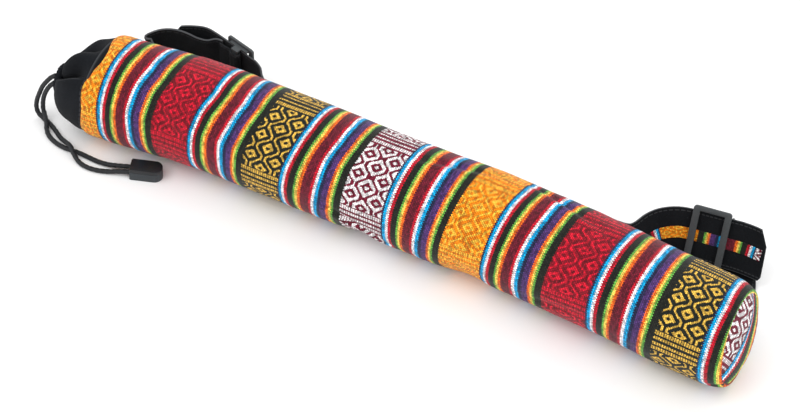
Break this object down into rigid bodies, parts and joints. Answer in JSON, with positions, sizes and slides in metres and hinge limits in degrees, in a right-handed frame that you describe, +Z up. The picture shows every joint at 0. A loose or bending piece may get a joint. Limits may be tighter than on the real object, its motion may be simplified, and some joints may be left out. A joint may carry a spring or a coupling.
{
  "type": "flute carry bag",
  "caption": "Padded tubular carry bag for a flute in striped, diamond-patterned woven cloth, with a black drawstring collar and an adjustable shoulder strap with two sliders.",
  "frame": {"origin": "Centre of the flat underside where the tube rests, halfway between its two end seams", "axes": "+X runs along the tube from the drawstring mouth to the base, +Y points to the back where the shoulder strap lies, +Z is up"},
  "size_m": [0.618, 0.1719, 0.0848],
  "materials": {
    "woven_cloth": "striped cotton weave",
    "black_cotton": "matte twill",
    "foam": "padding",
    "black_cord": "braided cord",
    "black_plastic": "fine grain",
    "grey_plastic": "fine grain"
  },
  "bodies": {
    "bag": {"woven_tube": "woven_cloth", "base_panel": "woven_cloth", "padding_tube": "foam", "padding_base": "foam", "lining_tube": "black_cotton", "lining_base": "black_cotton", "collar": "black_cotton", "collar_hem": "black_cotton", "collar_seam_tape": "black_cotton", "base_seam_tape": "black_cotton", "drawstring_loop": "black_cord", "drawstring_tail_outer": "black_cord", "drawstring_tail_inner": "black_cord", "cord_knots": "black_cord", "cord_end_tray": "black_plastic", "cord_end_lid": "black_plastic", "strap": "black_cotton", "strap_ribbon": "woven_cloth", "strap_base": "black_cotton", "strap_mouth": "black_cotton", "strap_base_patch": "black_cotton", "strap_mouth_patch": "black_cotton"},
    "base_slider": {"slider_base": "grey_plastic", "strap_base_sewn_end": "black_cotton"},
    "mouth_slider": {"slider_mouth": "grey_plastic", "strap_mouth_sewn_end": "black_cotton"}
  },
  "joints": [
    {"name": "slider_base_end", "type": "slide", "parent": "bag", "child": "base_slider", "axis": [0.989, 0.1478, 0], "range_m": [-0.008, 0]},
    {"name": "slider_mouth_end", "type": "slide", "parent": "bag", "child": "mouth_slider", "axis": [0.9659, -0.2588, 0], "range_m": [-0.004, 0.003]}
  ]
}
